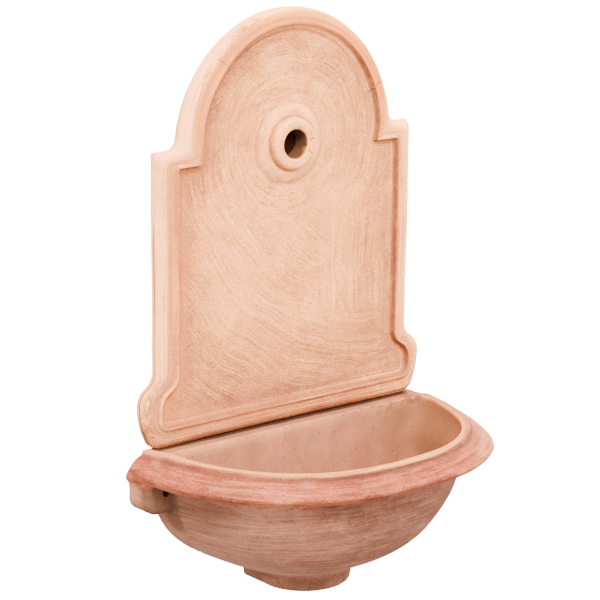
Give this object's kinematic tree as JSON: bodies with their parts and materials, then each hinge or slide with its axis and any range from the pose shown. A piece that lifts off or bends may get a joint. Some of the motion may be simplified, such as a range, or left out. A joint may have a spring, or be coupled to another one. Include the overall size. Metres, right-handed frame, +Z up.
{
  "type": "garden wall fountain",
  "caption": "Unglazed terracotta wall fountain: arched back panel with a bored tap boss, standing on the ledge of a half-round basin with a rolled rim and fixing lugs.",
  "frame": {"origin": "on the wall plane, midway between the two fixing holes of the basin", "axes": "+Z up, +X to the right seen from the front, +Y into the wall, so the fountain stands out to -Y"},
  "size_m": [0.5456, 0.297, 0.803],
  "materials": {
    "panel_clay": "unglazed, matt, brushed",
    "basin_clay": "unglazed, matt, smoothed rim"
  },
  "bodies": {
    "root": {"back_panel": "panel_clay", "basin": "basin_clay"}
  },
  "joints": []
}
